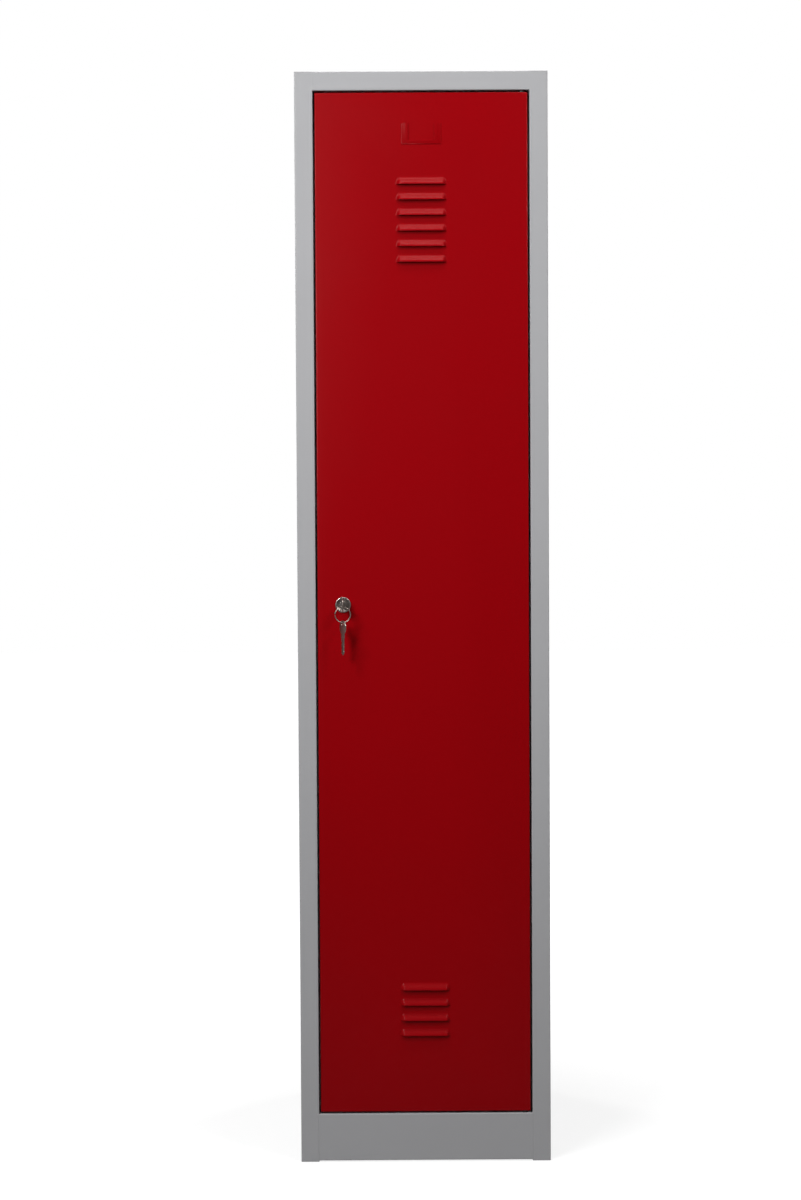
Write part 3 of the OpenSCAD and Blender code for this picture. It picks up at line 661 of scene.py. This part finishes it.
# Lock
# A die-cast cam lock goes through the door, with its satin chromed rim outside and a hexagon nut
# behind. Its plug holds stamped brass wafers and turns the zinc-plated cam under a cross-recess
# screw. The satin chrome blurs what it mirrors, and its colour is painted darker and warmer than
# bare chrome: a painted dim, reddish reflection.
# This colour holds a painted dim, reddish reflection on top of the satin chrome's own grey.
lock_chrome = plated("satin_chrome_on_zinc_painted_dim", "#A39B97", "#938B87", roughness=0.28,
                     cloud_width=0.012)
brass = plated("stamped_brass", "#C9A154", "#B58E45", roughness=0.3, cloud_width=0.01)
rim_height = 0.003
rim_round = 0.0016
body_r = 0.009
bore_r = 0.00605
thread_pitch = 0.001
thread_depth = 0.00045
thread_margin = 0.001
rim_r = (lock_high.x - lock_low.x) / 2
body_end = lock_high.y - lock_low.y
root_r = body_r - thread_depth
at_lock = Matrix.Translation((lock_x, lock_low.y, lock_z)) @ Matrix.Rotation(radians(-90), 4, "X")
# The profile runs out along the bore, over a shallow dish and the rim, and back by the thread.
dish = [(bore_r, body_end), (bore_r, 0.0009), (bore_r + 0.0003, 0.0006), (rim_r - 0.0032, 0.0004),
        (rim_r - 0.0026, 0.0)]
rim_curve = [(rim_r - rim_round * (1 - sin(a)), rim_round * (1 - cos(a)))
             for a in even(0, pi / 2, 8)]
threads = []
for k in range(int((body_end - rim_height - 2 * thread_margin) / thread_pitch)):
    start = rim_height + thread_margin + k * thread_pitch
    threads += [(root_r, start), (body_r, start + thread_pitch / 2)]
outside = [(rim_r, rim_height), (root_r, rim_height)] + threads + [(root_r, body_end)]
housing = turned(dish + rim_curve + outside + dish[:1], segments=64, place=at_lock)
bmesh.ops.remove_doubles(housing, verts=housing.verts, dist=same_point)
bmesh.ops.recalc_face_normals(housing, faces=housing.faces)
lock_body = smooth(as_object("lock_body", housing), 40)
lock_body.data.materials.append(lock_chrome)
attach(lock_body, "door")
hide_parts("lock_housing")
finished("lock_plug", 0.0001, lock_chrome)
finished("lock_wafers", 0.00005, brass)
finished("lock_nut", 0.0003, zinc)
finished("lock_cam", 0.0003, zinc)
finished("cam_screw", 0.0002, zinc)


# Keys
# Two flat keys are blanked from 2 mm nickel-plated steel: one stands in the lock and its spare
# hangs on the ring. Each has a milled groove down both sides of its blade, and its plating is worn
# to a soft satin.
# The worn satin is real, and the nickel's colour is also painted darker than fresh plating: a
# painted dim reflection.
nickel = plated("worn_nickel_plate_painted_dim", "#968C86", "#857B74", roughness=0.3, cloud_width=0.006)
key_t = 0.002
key_edge = 0.00022
bow_r = 0.0115
bow_l = 0.029
blade_l = 0.028
blade_w = 0.008
neck_w = 0.011
neck_meets_bow = radians(28.6)
shoulder_slant = 0.0001
hole_edge = 0.0055
key_hole_r = 0.0035
cut_depth = 0.0014
cuts = (0.008, 0.012, 0.016, 0.020)
groove_w = 0.0018
groove_depth = 0.0005
groove_start = 0.003
groove_end = 0.027
groove_aside = 0.0004


def key_outline():
    """Edge of a key's plate, along the blade to its tip, back, and round the bow."""
    half = blade_w / 2
    upper = [(-shoulder_slant, half)]
    lower = [(-shoulder_slant, -half)]
    for i, x in enumerate(cuts):
        edge, s = (upper, 1) if i % 2 == 0 else (lower, -1)
        edge += [(x - cut_depth, s * half), (x, s * (half - cut_depth)), (x + cut_depth, s * half)]
    upper.append((blade_l - half, half))
    lower.append((blade_l - half, -half))
    bow = [(-bow_l + bow_r + bow_r * cos(a), bow_r * sin(a))
           for a in even(neck_meets_bow, 2 * pi - neck_meets_bow, 56)]
    return lower + [(blade_l, 0)] + upper[::-1] + [(0, neck_w / 2)] + bow + [(0, -neck_w / 2)]


def key_plate(place):
    """One key, blanked from its outline, with its hole, grooves and broken edges."""
    curve = bpy.data.curves.new("key_blank", "CURVE")
    curve.dimensions = "2D"
    curve.fill_mode = "BOTH"
    curve.extrude = key_t / 2 - key_edge
    curve.bevel_depth = key_edge
    curve.offset = -key_edge
    curve.bevel_resolution = 1
    hole = [(-bow_l + hole_edge + key_hole_r * cos(a), key_hole_r * sin(a))
            for a in even(0, -2 * pi, 40)[:-1]]
    for points in (key_outline(), hole):
        spline = curve.splines.new("POLY")
        spline.points.add(len(points) - 1)
        for point, (x, y) in zip(spline.points, points):
            point.co = (x, y, 0, 1)
        spline.use_cyclic_u = True
    blank = bpy.data.objects.new("key_blank", curve)
    bpy.context.scene.collection.objects.link(blank)
    bpy.context.view_layer.update()
    bm = bmesh.new()
    bm.from_mesh(bpy.data.meshes.new_from_object(blank))
    bmesh.ops.remove_doubles(bm, verts=bm.verts, dist=same_point)
    bpy.data.objects.remove(blank)
    solid = as_object("key", bm)
    cutters = []
    for side in (-1, 1):
        groove = bmesh.new()
        middle = ((groove_start + groove_end) / 2, groove_aside * side, key_t / 2 * side)
        reach = (groove_end - groove_start, groove_w, 2 * groove_depth, 1)
        bmesh.ops.create_cube(groove, size=1,
                              matrix=Matrix.Translation(middle) @ Matrix.Diagonal(reach))
        cutters.append(as_object("groove", groove))
        cut = solid.modifiers.new("groove", "BOOLEAN")
        cut.operation = "DIFFERENCE"
        cut.solver = "EXACT"
        cut.object = cutters[-1]
    settle(solid)
    for cutter in cutters:
        bpy.data.objects.remove(cutter)
    solid.data.transform(place)
    return solid


spare_yaw = radians(25)
shoulder_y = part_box("door_key")[1].y - blade_l
in_lock = Matrix.Translation((lock_x, shoulder_y, lock_z)) @ Matrix.Rotation(radians(90), 4, "Z") \
    @ Matrix.Rotation(radians(90), 4, "X")
spare_low, spare_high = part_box("spare_key")
spare_mid = (spare_low + spare_high) / 2
hanging = Matrix.Translation((spare_mid.x, spare_mid.y, spare_low.z + blade_l)) \
    @ Matrix.Rotation(spare_yaw, 4, "Z") @ Matrix.Rotation(radians(90), 4, "Y")
for node, body, place in (("door_key", "key", in_lock), ("spare_key", "spare", hanging)):
    key = flat_faces(smooth(key_plate(place), 50))
    key.name = node + "_plate"
    key.data.materials.append(nickel)
    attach(key, body)
    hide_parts(node)


# Key ring
# A ring of 1.8 mm nickel-plated wire, bent round until its ends butt, joins the two keys.
# It is plated like the keys.
ring_gap = radians(6)
ring_low, ring_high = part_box("key_ring")
wire_r = (ring_high.y - ring_low.y) / 2
ring_mid = (ring_low + ring_high) / 2
ring_r = (ring_high.z - ring_low.z) / 2 - wire_r
ring_path = [ring_mid + ring_r * Vector((cos(a), 0, sin(a)))
             for a in even(pi + ring_gap / 2, 3 * pi - ring_gap / 2, 96)]
ring = smooth(as_object("key_ring_wire", tube(ring_path, wire_r)))
ring.data.materials.append(nickel)
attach(ring, "ring")
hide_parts("key_ring")


# Floor and background
# A plain white studio floor runs out to a white background and keeps the locker's shadow.
# It glows a little towards its edge, so that no horizon shows.
def seen_share(tree, depth):
    """Share of full white that a ray sees: all of it for the camera and through glass. In a
    reflection the studio is white behind the locker and dim in front of it."""
    dim_from, white_from = -0.6, 0.6
    dim_share = 0.12
    kind = add_node(tree, "ShaderNodeLightPath").outputs
    room = add_node(tree, "ShaderNodeMapRange", {
        "Value": depth, "From Min": dim_from, "From Max": white_from, "To Min": dim_share,
        "To Max": 1.0})
    mirrored = add_node(tree, "ShaderNodeMath", {0: kind["Is Glossy Ray"], 1: room.outputs[0]},
                        operation="MULTIPLY")
    plain = add_node(tree, "ShaderNodeMath", {
        0: kind["Is Camera Ray"], 1: kind["Is Transmission Ray"]}, operation="MAXIMUM")
    return add_node(tree, "ShaderNodeMath", {0: plain.outputs[0], 1: mirrored.outputs[0]},
                    operation="MAXIMUM").outputs[0]


floor_size = 14
shadow_near, shadow_far = 0.35, 1.2
near_glow = 0.75
surround_light = 0.1
floor = bmesh.new()
bmesh.ops.create_grid(floor, x_segments=1, y_segments=1, size=floor_size)
ground = as_object("studio_floor", floor)
white_floor, tree, place = start_material("white_studio_floor")
reach = add_node(tree, "ShaderNodeVectorMath", {0: place}, operation="LENGTH")
fade = add_node(tree, "ShaderNodeMapRange", {
    "Value": reach.outputs["Value"], "From Min": shadow_near, "From Max": shadow_far,
    "To Min": near_glow, "To Max": 1.0})
depth = add_node(tree, "ShaderNodeSeparateXYZ", {0: place}).outputs["Y"]
glow = add_node(tree, "ShaderNodeMath", {0: fade.outputs[0], 1: seen_share(tree, depth)},
                operation="MULTIPLY")
finish_material(tree, {"Base Color": linear("#9A9A9A"), "Roughness": 0.9, "IOR": 1.45,
                       "Specular IOR Level": 0.1, "Emission Color": linear("#FFFFFF"),
                       "Emission Strength": glow.outputs[0]})
ground.data.materials.append(white_floor)
world = bpy.data.worlds.new("white_studio")
world.use_nodes = True
world.node_tree.nodes.clear()
tree = world.node_tree
direction = add_node(tree, "ShaderNodeTexCoord").outputs["Generated"]
depth = add_node(tree, "ShaderNodeSeparateXYZ", {0: direction}).outputs["Y"]
level = add_node(tree, "ShaderNodeMapRange", {
    "Value": seen_share(tree, depth), "To Min": surround_light, "To Max": 1.0})
backdrop = add_node(tree, "ShaderNodeBackground", {
    "Color": linear("#FFFFFF"), "Strength": level.outputs[0]})
add_node(tree, "ShaderNodeOutputWorld", {"Surface": backdrop.outputs[0]})
bpy.context.scene.world = world


# Lights
# A long softbox close above makes the louvres' hoods bright, two hang high at the sides and one
# stands at the front left, so the keys' shadow falls to their right. Two more light the back. They
# aren't mirrored, or the flat top and sides would show them as white patches at a grazing view.
def soft_lamp(name, place, aim, power, width=0.8, length=0.8, spread=110, mirrored=True):
    """Area lamp that points at aim. Where it isn't mirrored, no gloss shows its shape."""
    data = bpy.data.lights.new(name, "AREA")
    data.shape = "RECTANGLE"
    data.size = width
    data.size_y = length
    data.spread = radians(spread)
    data.energy = power
    lamp = bpy.data.objects.new(name, data)
    lamp.visible_glossy = mirrored
    lamp.location = place
    lamp.rotation_euler = (Vector(aim) - Vector(place)).to_track_quat("-Z", "Y").to_euler()
    bpy.context.scene.collection.objects.link(lamp)


soft_lamp("top_softbox", (0, -0.9, 3.0), (0, -0.25, 1.3), power=7.4, width=1.8, length=0.4)
soft_lamp("front_softbox", (-1.5, -2.9, 2.15), (0, -0.25, 0.9), power=12, spread=80)
soft_lamp("left_softbox", (-1.6, -2.0, 2.9), (0, -0.25, 1.2), power=9.5, width=0.5, length=0.5)
soft_lamp("right_softbox", (1.6, -2.0, 2.9), (0, -0.25, 1.2), power=10.5, width=0.5, length=0.5)
soft_lamp("rear_left_softbox", (-2.2, 2.6, 2.2), (0, 0.25, 1.0), power=14, mirrored=False)
soft_lamp("rear_right_softbox", (2.2, 2.6, 2.2), (0, 0.25, 1.0), power=14, mirrored=False)


# Camera
# It stands where the photograph was taken, about 4 m in front, 1.09 m up and tipped down by two
# degrees. The turns are in degrees.
image_height = 1200
focal_pixels = 2422
stand = (-0.0525, -4.2413, 1.0865)
heading, dip, roll = -0.212, 2.18, -0.31
camera_data = bpy.data.cameras.new("camera")
camera_data.lens = focal_pixels / image_height * camera_data.sensor_width
camera = bpy.data.objects.new("camera", camera_data)
camera.matrix_world = Matrix.Translation(stand) @ Matrix.Rotation(radians(heading), 4, "Z") \
    @ Matrix.Rotation(radians(90 - dip), 4, "X") @ Matrix.Rotation(radians(roll), 4, "Z")
bpy.context.scene.collection.objects.link(camera)
bpy.context.scene.camera = camera
bpy.context.scene.view_settings.view_transform = "Standard"
